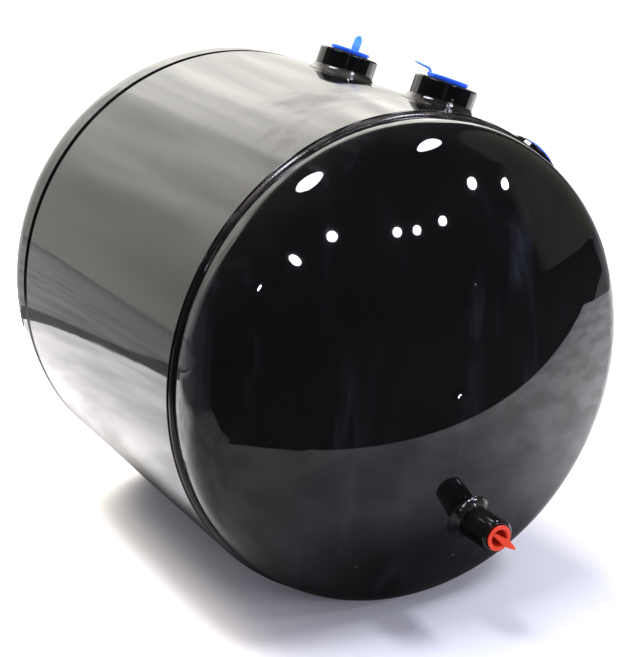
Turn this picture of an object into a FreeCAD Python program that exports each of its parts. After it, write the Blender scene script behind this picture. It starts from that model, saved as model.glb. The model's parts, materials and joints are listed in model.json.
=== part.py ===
import FreeCAD, Part
import math
import os
import Sketcher
from FreeCAD import Vector

# Small horizontal pressure tank: a rolled shell lying on its side, a dished head pushed into
# each end and welded round, threaded ports welded into the shell and the heads, and a push-in
# shipping plug in every port.
#
# Millimetres. +Z is up, the front head faces -Y and +X is to the right as seen from the front.
# The tank lies on a level floor at Z = 0, and the origin is under the middle of its length.
# Angles round the tank are clockwise from straight up, as seen from the front.

SIZES = {
    # shell: a rolled tube
    "shell_radius": 152.4,
    "shell_length": 226.0,
    "shell_wall": 3.0,
    # heads: dished ends with a straight flange, an outer knuckle and a crown
    "head_wall": 3.0,
    "head_gap": 0.1,
    "head_insert": 16.0,
    "flange_reach": 9.0,
    "knuckle_radius": 30.5,
    "crown_radius": 299.0,
    # the rear head swells to the shell's own radius past a narrow weld groove
    "rear_groove": 2.0,
    "rear_flange_reach": 14.0,
    # welds
    "girth_weld_rise": 3.4,
    "rear_weld_recess": 1.5,
    "seam_width": 8.0,
    "seam_height": 1.1,
    "weld_land": 0.4,
    "port_weld_leg": 4.0,
    "drain_weld_leg": 5.0,
    # ports in the shell
    "port_outer": 20.0,
    "port_bore": 12.2,
    "port_stand": 14.5,
    "port_inside": 3.0,
    "port_chamfer": 1.0,
    "port_countersink": 0.8,
    "port_gap": 0.1,
    "front_port_inset": 47.2,
    "side_port_inset": 52.0,
    "rear_port_inset": 61.4,
    "top_port_angle": 21.7,
    "side_port_angle": 53.6,
    # drain ports in the heads
    "drain_outer": 10.4,
    "drain_bore": 6.5,
    "drain_stand": 30.2,
    "drain_inside": 9.0,
    "drain_chamfer": 1.2,
    "drain_countersink": 0.5,
    "drain_inset": 65.7,
    "drain_angle": 168.5,
    # shipping plugs: a tapered cup with a flange, a rib across it and a pull tab
    "plug_gap": 0.15,
    "plug_raise": 1.8,
    "plug_flange": 13.4,
    "plug_depth": 12.0,
    "small_plug_raise": 0.6,
    "small_plug_flange": 8.1,
    "small_plug_depth": 9.0,
    "flange_thick": 1.1,
    "plug_wall": 1.1,
    "plug_taper": 0.9,
    "rib_thick": 1.4,
    "rib_depth": 3.0,
    "tab_thick": 1.1,
    "tab_bend": 3.0,
    "tab_width": 5.6,
    "small_tab_width": 4.6,
    # each tab: its direction round the plug, how far it leans out and its straight length
    "top_rear_tab_turn": 45.0,
    "top_rear_tab_lean": 8.0,
    "top_rear_tab_run": 11.2,
    "top_front_tab_turn": 146.0,
    "top_front_tab_lean": 84.0,
    "top_front_tab_run": 8.7,
    "side_tab_turn": 40.0,
    "side_tab_lean": 75.0,
    "side_tab_run": 8.0,
    "front_drain_tab_turn": 128.0,
    "front_drain_tab_lean": 78.0,
    "front_drain_tab_run": 4.8,
    "rear_drain_tab_turn": 52.0,
    "rear_drain_tab_lean": 78.0,
    "rear_drain_tab_run": 4.8,
}

# Where each port in the shell sits: (name, inset and end it is measured from, angle).
SHELL_PORTS = (
    ("top_rear", "(Sizes.rear_port_inset - Sizes.shell_length / 2)", "Sizes.top_port_angle"),
    ("top_front", "(Sizes.shell_length / 2 - Sizes.front_port_inset)", "Sizes.top_port_angle"),
    ("side", "(Sizes.shell_length / 2 - Sizes.side_port_inset)", "Sizes.side_port_angle"),
)

HEAD_RADIUS = "(Sizes.shell_radius - Sizes.shell_wall - Sizes.head_gap)"
HEAD_INSIDE = f"({HEAD_RADIUS} - Sizes.head_wall)"
SWELL = f"(Sizes.shell_radius - {HEAD_RADIUS})"
CROWN_RUN = "(Sizes.crown_radius - Sizes.knuckle_radius)"
DRAIN_RADIUS = "(Sizes.shell_radius - Sizes.drain_inset)"
HALF_LENGTH = "(Sizes.shell_length / 2)"
TURN = "rotation(vector({0}; {1}; {2}); {3})"

doc = FreeCAD.newDocument("pressure_tank")
sheet = doc.addObject("Spreadsheet::Sheet", "Sizes")
finished = []


def fill_sheet():
    for row, (word, size) in enumerate(SIZES.items(), start=1):
        sheet.set(f"A{row}", word)
        sheet.set(f"B{row}", str(size))
        sheet.setAlias(f"B{row}", word)
    doc.recompute()


def value(words):
    """The number that an expression on the sheet gives."""
    return float(sheet.evalExpression(words))


def turn_x(angle):
    return TURN.format(1, 0, 0, angle)


def turn_y(angle):
    return TURN.format(0, 1, 0, angle)


def turn_z(angle):
    return TURN.format(0, 0, 1, angle)


def place(item, across, along, up, *turns):
    """Bind an object's place to the sheet; the turns act from the last to the first."""
    turned = " * ".join(turns) if turns else turn_z(0)
    item.setExpression("Placement", f"placement(vector({across}; {along}; {up}); {turned})")


def origin_plane(body, role):
    return next(plane for plane in body.Origin.OriginFeatures if plane.Role == role)


def new_body(label):
    body = doc.addObject("PartDesign::Body", label)
    body.Label = label
    return body


def new_sketch(body, name, role):
    sketch = body.newObject("Sketcher::SketchObject", name)
    sketch.AttachmentSupport = [(origin_plane(body, role), "")]
    sketch.MapMode = "FlatFace"
    return sketch


def bind(sketch, number, words):
    sketch.setExpression(f"Constraints[{number}]", words)


def arc_edge(first, last, centre, radius):
    """An arc from first to last the short way round, and which of its ends is the first."""
    start = math.atan2(first.y - centre.y, first.x - centre.x)
    finish = math.atan2(last.y - centre.y, last.x - centre.x)
    circle = Part.Circle(centre, Vector(0, 0, 1), radius)
    if (finish - start) % (2 * math.pi) < math.pi:
        return Part.ArcOfCircle(circle, start, finish), True
    return Part.ArcOfCircle(circle, finish, start), False


def outline(body, name, role, corners, arcs=None):
    """A closed outline whose corners, and the radii of its arcs, are bound to the sheet.

    corners holds (across, up) pairs of expressions. arcs gives, for the edge that leaves a
    corner, the arc's radius and its centre as expressions.
    """
    sketch = new_sketch(body, name, role)
    arcs = arcs or {}
    points = [Vector(value(across), value(up), 0) for across, up in corners]
    ends = []
    for edge, point in enumerate(points):
        following = points[(edge + 1) % len(points)]
        forward = True
        curve = Part.LineSegment(point, following)
        if edge in arcs:
            radius, across, up = (value(words) for words in arcs[edge])
            curve, forward = arc_edge(point, following, Vector(across, up, 0), radius)
        sketch.addGeometry(curve, False)
        ends.append((1, 2) if forward else (2, 1))
    for edge in range(len(points)):
        following = (edge + 1) % len(points)
        joined = Sketcher.Constraint("Coincident", edge, ends[edge][1], following, ends[following][0])
        sketch.addConstraint(joined)
    for edge, (across, up) in enumerate(corners):
        corner = (edge, ends[edge][0])
        if across == "0":
            sketch.addConstraint(Sketcher.Constraint("PointOnObject", *corner, -2))
        else:
            sideways = Sketcher.Constraint("DistanceX", -1, 1, *corner, points[edge].x)
            bind(sketch, sketch.addConstraint(sideways), across)
        if up == "0":
            sketch.addConstraint(Sketcher.Constraint("PointOnObject", *corner, -1))
        else:
            upwards = Sketcher.Constraint("DistanceY", -1, 1, *corner, points[edge].y)
            bind(sketch, sketch.addConstraint(upwards), up)
    for edge, (radius, _, _) in arcs.items():
        size = Sketcher.Constraint("Radius", edge, value(radius))
        bind(sketch, sketch.addConstraint(size), radius)
    return sketch


def revolve(body, sketch):
    turned = body.newObject("PartDesign::Revolution", f"{body.Name}_turned")
    turned.Profile = sketch
    turned.ReferenceAxis = (sketch, ["V_Axis"])
    turned.Angle = 360
    return turned


def pad(body, sketch, length):
    """A pad that grows both ways from its sketch."""
    grown = body.newObject("PartDesign::Pad", f"{sketch.Name}_pad")
    grown.Profile = sketch
    grown.SideType = "Symmetric"
    grown.setExpression("Length", length)
    return grown


def drill(body, name, radius, depth):
    """A round hole; the caller puts it in its place."""
    hole = body.newObject("PartDesign::SubtractiveCylinder", name)
    hole.setExpression("Radius", radius)
    hole.setExpression("Height", depth)
    return hole


def finish(label, piece):
    piece.Label = label
    finished.append(piece)


# Shell --------------------------------------------------------------------------------------

def make_shell():
    """A rolled tube with a hole for each port. Inside the body, +Z runs to the front."""
    body = new_body("shell")
    ring = outline(body, "shell_section", "XZ_Plane", [
        ("(Sizes.shell_radius - Sizes.shell_wall)", f"(0 - {HALF_LENGTH})"),
        ("Sizes.shell_radius", f"(0 - {HALF_LENGTH})"),
        ("Sizes.shell_radius", HALF_LENGTH),
        ("(Sizes.shell_radius - Sizes.shell_wall)", HALF_LENGTH),
    ])
    revolve(body, ring)
    for name, station, angle in SHELL_PORTS:
        hole = drill(body, f"{name}_hole", "Sizes.port_outer + Sizes.port_gap", "Sizes.shell_radius * 2")
        place(hole, "0", "0", station, turn_z(f"0 - {angle}"), turn_x("-90"))
    place(body, "0", "0", "Sizes.shell_radius", turn_x("90"))
    finish("shell", body)


def make_seam_weld():
    """The weld bead along the shell where the rolled plate's edges meet.

    It is low on the far side, where its crown just touches the floor beside the shell's lowest
    line, so the tank lies on two lines and doesn't roll.
    """
    body = new_body("shell_seam_weld")
    half = "(Sizes.seam_width / 2)"
    edge = f"sqrt(Sizes.shell_radius^2 - {half}^2)"
    rise = f"(Sizes.shell_radius + Sizes.seam_height - {edge})"
    crown = f"(({rise}^2 + {half}^2) / (2 * {rise}))"
    crown_centre = f"(Sizes.shell_radius + Sizes.seam_height - {crown})"
    section = outline(body, "seam_section", "XY_Plane", [
        (f"(0 - {half})", edge),
        (half, edge),
    ], {0: ("Sizes.shell_radius", "0", "0"), 1: (crown, "0", crown_centre)})
    pad(body, section, "Sizes.shell_length")
    lean = f"acos((Sizes.shell_radius - {crown}) / {crown_centre})"
    place(body, "0", "0", "Sizes.shell_radius", turn_y(f"180 deg - {lean}"), turn_x("90"))
    finish("shell_seam_weld", body)


# Ends ---------------------------------------------------------------------------------------

def end_turns(end, angle):
    """Turn a piece so that its +Z runs out of the tank's end and its +Y points to the angle."""
    if end == "front":
        return turn_y(angle), turn_x("90")
    return turn_y(f"{angle} + 180"), turn_x("-90")


def out_of_end(end, distance):
    """The place along Y that is a distance out of the shell's front or rear edge."""
    way = "0 -" if end == "front" else "0 +"
    return f"({way} ({HALF_LENGTH} + {distance}))"


def flange(end):
    """A head's radius outside the shell, and how far out its straight flange runs."""
    if end == "front":
        return HEAD_RADIUS, "Sizes.flange_reach"
    return "Sizes.shell_radius", "Sizes.rear_flange_reach"


def knuckle_run(end):
    """The radius of the ring on which the centres of a head's knuckle lie."""
    radius, _ = flange(end)
    return f"({radius} - Sizes.knuckle_radius)"


def crown_centre(end):
    """Where the middle of a head's crown is, measured out from the shell's edge."""
    _, reach = flange(end)
    return f"({reach} - sqrt({CROWN_RUN}^2 - {knuckle_run(end)}^2))"


def dome_at_drain(end):
    return f"({crown_centre(end)} + sqrt(Sizes.crown_radius^2 - {DRAIN_RADIUS}^2))"


def make_head(end):
    """A dished head. Inside the body, Z = 0 is at the shell's edge and +Z runs out of the end."""
    body = new_body(f"{end}_head")
    radius, reach = flange(end)
    run = knuckle_run(end)
    centre = crown_centre(end)
    join = f"(Sizes.crown_radius * {run} / {CROWN_RUN})"
    lean = f"sqrt({CROWN_RUN}^2 - {run}^2) / {CROWN_RUN}"
    join_up = f"({centre} + Sizes.crown_radius * {lean})"
    inner = "(Sizes.crown_radius - Sizes.head_wall)"
    inner_join = f"({inner} * {run} / {CROWN_RUN})"
    inner_join_up = f"({centre} + {inner} * {lean})"
    outside = [(HEAD_RADIUS, "(0 - Sizes.head_insert)")]
    inside = [(HEAD_INSIDE, "(0 - Sizes.head_insert)")]
    if end == "rear":
        hidden = "(Sizes.rear_groove + Sizes.head_wall * (sqrt(2) - 1))"
        outside += [(HEAD_RADIUS, "Sizes.rear_groove"), (radius, f"(Sizes.rear_groove + {SWELL})")]
        inside = [(f"({radius} - Sizes.head_wall)", f"({hidden} + {SWELL})"), (HEAD_INSIDE, hidden)] + inside
    knuckle = len(outside)
    section = outline(body, f"{end}_head_section", "XZ_Plane", outside + [
        (radius, reach),
        (join, join_up),
        ("0", f"({centre} + Sizes.crown_radius)"),
        ("0", f"({centre} + {inner})"),
        (inner_join, inner_join_up),
        (f"({radius} - Sizes.head_wall)", reach),
    ] + inside, {
        knuckle: ("Sizes.knuckle_radius", run, reach),
        knuckle + 1: ("Sizes.crown_radius", "0", centre),
        knuckle + 3: (inner, "0", centre),
        knuckle + 4: ("(Sizes.knuckle_radius - Sizes.head_wall)", run, reach),
    })
    revolve(body, section)
    hole = drill(body, f"{end}_drain_hole", "Sizes.drain_outer + Sizes.port_gap", "Sizes.crown_radius")
    place(hole, "0", DRAIN_RADIUS, "0")
    place(body, "0", out_of_end(end, "0"), "Sizes.shell_radius", *end_turns(end, "Sizes.drain_angle"))
    finish(f"{end}_head", body)


def make_girth_weld(end):
    """The weld round the shell's edge.

    In front it is a fillet that laps down to the head's flange. At the rear it lies sunk in the
    groove between the shell's edge and the slope where the head swells.
    """
    body = new_body(f"{end}_girth_weld")
    corners = [
        (HEAD_RADIUS, "0"),
        ("Sizes.shell_radius", "0"),
        (HEAD_RADIUS, "Sizes.girth_weld_rise"),
    ]
    if end == "rear":
        face = "(Sizes.shell_radius - Sizes.rear_weld_recess)"
        corners = [
            (HEAD_RADIUS, "0"),
            (face, "0"),
            (face, f"(Sizes.rear_groove + {SWELL} - Sizes.rear_weld_recess)"),
            (HEAD_RADIUS, "Sizes.rear_groove"),
        ]
    revolve(body, outline(body, f"{end}_girth_section", "XZ_Plane", corners))
    place(body, "0", out_of_end(end, "0"), "Sizes.shell_radius", *end_turns(end, "0"))
    finish(f"{end}_girth_weld", body)


# Ports --------------------------------------------------------------------------------------

def port_place(name):
    """Where a port's own frame is: its +Z runs out along the port's axis."""
    for port, station, angle in SHELL_PORTS:
        if port == name:
            return "0", f"(0 - {station})", "Sizes.shell_radius", turn_y(angle)
    end = name.split("_")[0]
    across = f"({DRAIN_RADIUS} * sin(Sizes.drain_angle))"
    up = f"(Sizes.shell_radius + {DRAIN_RADIUS} * cos(Sizes.drain_angle))"
    return across, out_of_end(end, "0"), up, *end_turns(end, "Sizes.drain_angle")


def port_mouth(family):
    """The height of a port's mouth in its own frame; both drains reach as far out as each other."""
    if family == "port":
        return "(Sizes.shell_radius + Sizes.port_stand)"
    return f"({dome_at_drain('front')} + Sizes.drain_stand)"


def port_foot(name, family):
    if family == "port":
        return "(Sizes.shell_radius - Sizes.shell_wall - Sizes.port_inside)"
    return f"({dome_at_drain(name.split('_')[0])} - Sizes.drain_inside)"


def make_port(name, family):
    """A round threaded boss, chamfered outside and countersunk at its mouth."""
    label = name if family == "drain" else f"{name}_port"
    body = new_body(label)
    outer = f"Sizes.{family}_outer"
    bore = f"Sizes.{family}_bore"
    mouth = port_mouth(family)
    section = outline(body, f"{label}_section", "XZ_Plane", [
        (bore, port_foot(name, family)),
        (outer, port_foot(name, family)),
        (outer, f"({mouth} - Sizes.{family}_chamfer)"),
        (f"({outer} - Sizes.{family}_chamfer)", mouth),
        (f"({bore} + Sizes.{family}_countersink)", mouth),
        (bore, f"({mouth} - Sizes.{family}_countersink)"),
    ])
    revolve(body, section)
    place(body, *port_place(name))
    finish(label, body)


def cylinder(name, radius, length):
    item = doc.addObject("Part::Cylinder", name)
    item.setExpression("Radius", radius)
    item.setExpression("Height", length)
    return item


def weld_round(name, cone, tools):
    """The weld is a cone less the tank's surface and less the port's barrel."""
    removed = doc.addObject("Part::MultiFuse", f"{name}_removed")
    removed.Shapes = tools
    weld = doc.addObject("Part::Cut", f"{name}_weld")
    weld.Base = cone
    weld.Tool = removed
    finish(f"{name}_weld", weld)


def make_shell_port_weld(name, shell_core):
    toe = "(Sizes.port_outer + Sizes.port_weld_leg)"
    low = f"sqrt(Sizes.shell_radius^2 - {toe}^2)"
    cone = doc.addObject("Part::Cone", f"{name}_port_weld_cone")
    cone.setExpression("Radius1", toe)
    cone.setExpression("Radius2", "Sizes.port_outer + Sizes.weld_land")
    cone.setExpression("Height", f"Sizes.shell_radius + Sizes.port_weld_leg - {low}")
    across, along, up, turned = port_place(name)
    sideways = f"({across} + {low} * sin({port_angle(name)}))"
    height = f"({up} + {low} * cos({port_angle(name)}))"
    place(cone, sideways, along, height, turned)
    barrel = cylinder(f"{name}_port_barrel", "Sizes.port_outer", "Sizes.shell_radius * 2")
    place(barrel, across, along, up, turned)
    weld_round(f"{name}_port", cone, [shell_core, barrel])


def port_angle(name):
    return next(angle for port, _, angle in SHELL_PORTS if port == name)


def make_drain_weld(end):
    """The cone stands square to the dome, so it leans away from the port's axis."""
    name = f"{end}_drain"
    lean = f"asin({DRAIN_RADIUS} / Sizes.crown_radius)"
    toe = "(Sizes.drain_outer + Sizes.drain_weld_leg)"
    sunk = f"(Sizes.crown_radius - sqrt(Sizes.crown_radius^2 - {toe}^2))"
    core = doc.addObject("Part::Sphere", f"{name}_dome_core")
    core.setExpression("Radius", "Sizes.crown_radius")
    place(core, "0", out_of_end(end, crown_centre(end)), "Sizes.shell_radius")
    cone = doc.addObject("Part::Cone", f"{name}_weld_cone")
    cone.setExpression("Radius1", toe)
    cone.setExpression("Radius2", "Sizes.drain_outer + Sizes.weld_land")
    cone.setExpression("Height", f"Sizes.drain_weld_leg + {sunk}")
    foot = f"(Sizes.crown_radius - {sunk})"
    across = f"({foot} * sin({lean}) * sin(Sizes.drain_angle))"
    along = out_of_end(end, f"{crown_centre(end)} + {foot} * cos({lean})")
    up = f"(Sizes.shell_radius + {foot} * sin({lean}) * cos(Sizes.drain_angle))"
    place(cone, across, along, up, *end_turns(end, "Sizes.drain_angle"), turn_x(f"-1 * {lean}"))
    barrel = cylinder(f"{name}_barrel", "Sizes.drain_outer", "Sizes.crown_radius")
    place(barrel, *port_place(name))
    weld_round(name, cone, [core, barrel])


# Plugs --------------------------------------------------------------------------------------

def make_plug(name, family):
    """A tapered cup with a flange, a rib across its hollow and a bent pull tab."""
    label = f"{name}_plug"
    body = new_body(label)
    size = "plug" if family == "port" else "small_plug"
    flange = f"Sizes.{size}_flange"
    depth = f"Sizes.{size}_depth"
    neck = f"(Sizes.{family}_bore - Sizes.plug_gap)"
    hollow = f"({neck} - Sizes.plug_wall)"
    section = outline(body, f"{label}_section", "XZ_Plane", [
        ("0", f"(0 - {depth})"),
        (f"({neck} - Sizes.plug_taper)", f"(0 - {depth})"),
        (neck, "0"),
        (flange, "0"),
        (flange, "Sizes.flange_thick"),
        (hollow, "Sizes.flange_thick"),
        (f"({hollow} - Sizes.plug_taper)", f"(Sizes.plug_wall - {depth})"),
        ("0", f"(Sizes.plug_wall - {depth})"),
    ])
    revolve(body, section)
    rib_end = f"({hollow} + Sizes.plug_wall / 2)"
    rib = outline(body, f"{label}_rib", "XZ_Plane", [
        (f"(0 - {rib_end})", "(Sizes.flange_thick - Sizes.rib_depth)"),
        (rib_end, "(Sizes.flange_thick - Sizes.rib_depth)"),
        (rib_end, "Sizes.flange_thick"),
        (f"(0 - {rib_end})", "Sizes.flange_thick"),
    ])
    pad(body, rib, "Sizes.rib_thick")
    tab_width = "Sizes.tab_width" if family == "port" else "Sizes.small_tab_width"
    make_tab(body, name, f"({hollow} + Sizes.tab_thick / 2)", tab_width)
    across, along, up, *turns = port_place(name)
    seat = f"({port_mouth(family)} + Sizes.{size}_raise)"
    if family == "port":
        across = f"({across} + {seat} * sin({port_angle(name)}))"
        up = f"({up} + {seat} * cos({port_angle(name)}))"
    else:
        along = out_of_end(name.split("_")[0], seat)
    place(body, across, along, up, *turns, turn_z(f"Sizes.{name}_tab_turn"))
    finish(label, body)


def make_tab(body, name, start, width):
    """A strip that rises from the flange, bends outward and runs on straight."""
    half = "(Sizes.tab_thick / 2)"
    base = "(Sizes.flange_thick / 2)"
    centre = f"({start} + Sizes.tab_bend)"
    across = f"cos(Sizes.{name}_tab_lean)"
    upward = f"sin(Sizes.{name}_tab_lean)"
    run = f"Sizes.{name}_tab_run"

    def on_strip(offset, length):
        """A point at an offset from the strip's middle line, a length past the bend's end."""
        reach = f"(Sizes.tab_bend - {offset})"
        return (
            f"({centre} - {reach} * {across} + {length} * {upward})",
            f"({base} + {reach} * {upward} + {length} * {across})",
        )

    inner = half
    outer = f"(0 - {half})"
    strip = outline(body, f"{name}_tab", "XZ_Plane", [
        (f"({start} - {half})", base),
        (f"({start} + {half})", base),
        on_strip(inner, "0"),
        on_strip(inner, run),
        on_strip(outer, run),
        on_strip(outer, "0"),
    ], {
        1: (f"(Sizes.tab_bend - {half})", centre, base),
        5: (f"(Sizes.tab_bend + {half})", centre, base),
    })
    pad(body, strip, width)


# Build --------------------------------------------------------------------------------------

def build():
    make_shell()
    make_seam_weld()
    for end in ("front", "rear"):
        make_head(end)
        make_girth_weld(end)
        make_port(f"{end}_drain", "drain")
        make_drain_weld(end)
        make_plug(f"{end}_drain", "drain")
    shell_core = cylinder("shell_core", "Sizes.shell_radius", "Sizes.shell_length")
    place(shell_core, "0", HALF_LENGTH, "Sizes.shell_radius", turn_x("90"))
    for name, _, _ in SHELL_PORTS:
        make_port(name, "port")
        make_shell_port_weld(name, shell_core)
        make_plug(name, "port")
    doc.recompute()


def check():
    for item in doc.Objects:
        if "Invalid" in item.State or "Error" in item.State:
            raise RuntimeError(f"{item.Name} failed: {item.State}")
    for piece in finished:
        if piece.Shape.isNull() or not piece.Shape.isValid():
            raise RuntimeError(f"{piece.Label} has no valid shape")


def write():
    os.makedirs("parts", exist_ok=True)
    for piece in finished:
        piece.Shape.exportStep(f"parts/{piece.Label}.step")
        box = piece.Shape.BoundBox
        print(f"{piece.Label}: {len(piece.Shape.Solids)} solid, {piece.Shape.Volume:.0f} mm3,"
              f" X {box.XMin:.1f} to {box.XMax:.1f}, Y {box.YMin:.1f} to {box.YMax:.1f},"
              f" Z {box.ZMin:.1f} to {box.ZMax:.1f}")


fill_sheet()
build()
check()
write()
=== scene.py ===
# %% [markdown]
# # A small horizontal pressure tank
#
# The real object is a rolled steel shell with a dished head lapped into each end. Threaded
# ports are welded into it, each port is closed by a push-in plastic plug, and the whole tank
# is sprayed with one coat of gloss black paint.
#
# The engineering model gives every piece its size and place. This lesson builds the finish
# around it: rounded edges, weld beads with ripples, moulded plugs, and paint that has the
# small faults of real paint. Gloss paint is mostly reflections, so the studio counts too.

# %% Load the frame
import json
import math
import random

import bmesh
import bpy
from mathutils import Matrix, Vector


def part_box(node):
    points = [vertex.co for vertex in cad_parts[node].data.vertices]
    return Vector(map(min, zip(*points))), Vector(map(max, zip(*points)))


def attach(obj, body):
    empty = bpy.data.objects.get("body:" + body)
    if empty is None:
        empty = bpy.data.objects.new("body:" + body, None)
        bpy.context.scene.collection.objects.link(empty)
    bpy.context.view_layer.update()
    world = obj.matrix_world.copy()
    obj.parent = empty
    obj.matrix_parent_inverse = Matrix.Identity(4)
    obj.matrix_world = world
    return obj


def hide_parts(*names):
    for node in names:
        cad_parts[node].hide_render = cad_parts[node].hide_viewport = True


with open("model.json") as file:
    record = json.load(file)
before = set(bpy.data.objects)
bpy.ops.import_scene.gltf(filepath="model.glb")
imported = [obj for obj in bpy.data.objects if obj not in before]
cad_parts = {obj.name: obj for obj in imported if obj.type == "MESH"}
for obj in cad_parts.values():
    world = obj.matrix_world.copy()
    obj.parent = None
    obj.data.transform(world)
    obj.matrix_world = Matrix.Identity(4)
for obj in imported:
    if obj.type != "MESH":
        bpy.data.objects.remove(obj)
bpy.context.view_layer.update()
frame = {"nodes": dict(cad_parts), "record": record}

# %% [markdown]
# ## Sizes
#
# Lengths are in metres. The shell's radius and its ends are measured from the frame, and each
# port's mouth and axis come from the record, so the looks stay where the steel is. The plain
# numbers are sizes that the frame doesn't state, such as a wall or a chamfer.

# %% Sizes of the tank
shell_low, shell_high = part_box("shell")
RADIUS = (shell_high.z - shell_low.z) / 2
HALF = shell_high.y
WALL = 0.003
HEAD_GAP = 0.0001
HEAD_RADIUS = RADIUS - WALL - HEAD_GAP
KNUCKLE = 0.0305
CROWN = 0.299
# Each head's radius outside the shell, and how far its straight flange reaches.
FLANGES = {"front": (HEAD_RADIUS, 0.009), "rear": (RADIUS, 0.014)}
CROWN_CENTRES = {end: reach - math.sqrt((CROWN - KNUCKLE) ** 2 - (radius - KNUCKLE) ** 2)
                 for end, (radius, reach) in FLANGES.items()}
AXIS = Vector((0, 0, RADIUS))
TAU = 2 * math.pi
print("shell radius", round(RADIUS, 4), "half length", round(HALF, 4))

# %% Sizes of the ports and plugs
PORT = {"outer": 0.0200, "bore": 0.0122, "depth": 0.0205, "chamfer": 0.0010, "sink": 0.0008}
DRAIN = {"outer": 0.0104, "bore": 0.0065, "depth": 0.0392, "chamfer": 0.0012, "sink": 0.0005}
CAP = {"raise": 0.0018, "flange": 0.0134, "neck": 0.01205, "depth": 0.0120, "thick": 0.0011}
SMALL_CAP = {"raise": 0.0006, "flange": 0.0081, "neck": 0.00635, "depth": 0.0090, "thick": 0.0011}
CAP_WALL = 0.0011
mounts = {mount["name"]: mount for mount in frame["record"]["mounts"]}
print(len(mounts), "mounts in the record")

# %% [markdown]
# ## Making a skin from sections
#
# Every round piece here is a section carried round a path, as a lathe or a roller would make
# it. One function joins neighbouring sections into a skin. It makes even, four-sided faces,
# which shade cleanly, and it closes the piece, so the mesh is a solid and not a paper shape.

# %% Join sections into one mesh
def skin(name, parts):
    """Each part is (sections, closed round the path, closed section)."""
    mesh = bmesh.new()
    for sections, round_path, round_section in parts:
        rows = [[mesh.verts.new(point) for point in section] for section in sections]
        count = len(rows[0])
        following = rows[1:] + rows[:1] if round_path else rows[1:]
        last = count if round_section else count - 1
        for here, there in zip(rows, following):
            for k in range(last):
                after = (k + 1) % count
                mesh.faces.new((here[k], here[after], there[after], there[k]))
        if not round_path:
            mesh.faces.new(rows[0])
            mesh.faces.new(rows[-1])
    bmesh.ops.remove_doubles(mesh, verts=mesh.verts, dist=1e-7)
    bmesh.ops.recalc_face_normals(mesh, faces=mesh.faces)
    for face in mesh.faces:
        face.smooth = True
    data = bpy.data.meshes.new(name)
    mesh.to_mesh(data)
    mesh.free()
    piece = bpy.data.objects.new(name, data)
    bpy.context.scene.collection.objects.link(piece)
    return piece


print("skin joins sections")


# %% Round the corners of an outline
def eased(corners, steps=4):
    """corners are (across, up, radius); a radius of 0 leaves the corner sharp."""
    points = []
    for k, (x, y, radius) in enumerate(corners):
        here = Vector((x, y))
        if radius == 0:
            points.append(here)
            continue
        back = (Vector(corners[k - 1][:2]) - here).normalized()
        on = (Vector(corners[(k + 1) % len(corners)][:2]) - here).normalized()
        half = back.angle(on) / 2
        start, end = here + back * radius / math.tan(half), here + on * radius / math.tan(half)
        centre = here + (back + on).normalized() * radius / math.sin(half)
        for step in range(steps + 1):
            share = step / steps
            point = start.lerp(end, share) - centre
            points.append(centre + point.normalized() * radius)
    return points


print("one eased corner has", len(eased([(0, 0, 0), (1, 0, 0.2), (1, 1, 0)])) - 2, "points")


# %% A place to turn pieces on
class Lathe:
    """A centre with an axis. Points on it are given by angle, radius and height."""

    def __init__(self, centre, out, side):
        self.centre, self.out = Vector(centre), Vector(out).normalized()
        self.side = (Vector(side) - self.out * self.out.dot(Vector(side))).normalized()
        self.up = self.out.cross(self.side)

    def point(self, angle, radius, height):
        across = self.side * math.cos(angle) + self.up * math.sin(angle)
        return self.centre + across * radius + self.out * height

    def spin(self, outline, steps):
        return [[self.point(TAU * k / steps, r, h) for r, h in outline] for k in range(steps)]


print("the lathe turns outlines")


# %% Tie a piece to the frame
def hand_over(piece, node, paint):
    """Paint a piece, tie it to the frame and let it stand for its CAD node."""
    piece.data.materials.append(paint)
    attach(piece, "root")
    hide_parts(node)
    print(piece.name, len(piece.data.polygons), "faces")


def settle(piece, node, paint):
    """Even out the shading round the eased edges, then hand the piece over."""
    even = piece.modifiers.new("even_shading", "WEIGHTED_NORMAL")
    even.keep_sharp = True
    hand_over(piece, node, paint)


print("pieces can be handed over")

# %% Unevenness that repeats round a ring
def wander(seed, slow, fast):
    """A smooth, repeating wobble between about -1 and 1, always the same for one seed."""
    chance = random.Random(seed)
    waves = [(chance.randint(slow, fast), chance.uniform(0, TAU), chance.uniform(0.4, 1.0))
             for _ in range(6)]
    total = sum(size for _, _, size in waves)
    return lambda angle: sum(size * math.sin(n * angle + turn) for n, turn, size in waves) / total


print("one wobble at four places", [round(wander(1, 3, 11)(TAU * k / 4), 2) for k in range(4)])

# %% [markdown]
# ## Building shader trees
#
# A material is a tree of nodes. A few small helpers keep the trees readable: one adds a node
# and fills its sockets by name, and the others do one sum, one distance, one soft step or one
# blend. Two more make a node group and place it in a material.

# %% Node helpers
def feed(tree, socket, source):
    if isinstance(source, bpy.types.NodeSocket):
        tree.links.new(source, socket)
    else:
        socket.default_value = source


def add(tree, kind, settings=None, **sockets):
    """Add a node. A socket's name is written with _ for each space."""
    made = tree.nodes.new("ShaderNode" + kind)
    for word, setting in (settings or {}).items():
        setattr(made, word, setting)
    for name, source in sockets.items():
        feed(tree, made.inputs[name.replace("_", " ")], source)
    return made


def sums(tree, operation, first, second=0.0, clamp=False):
    made = add(tree, "Math", {"operation": operation, "use_clamp": clamp})
    feed(tree, made.inputs[0], first)
    feed(tree, made.inputs[1], second)
    return made.outputs[0]


def distance(tree, first, second=(0, 0, 0)):
    made = add(tree, "VectorMath", {"operation": "DISTANCE"})
    feed(tree, made.inputs[0], first)
    feed(tree, made.inputs[1], second)
    return made.outputs["Value"]


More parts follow.
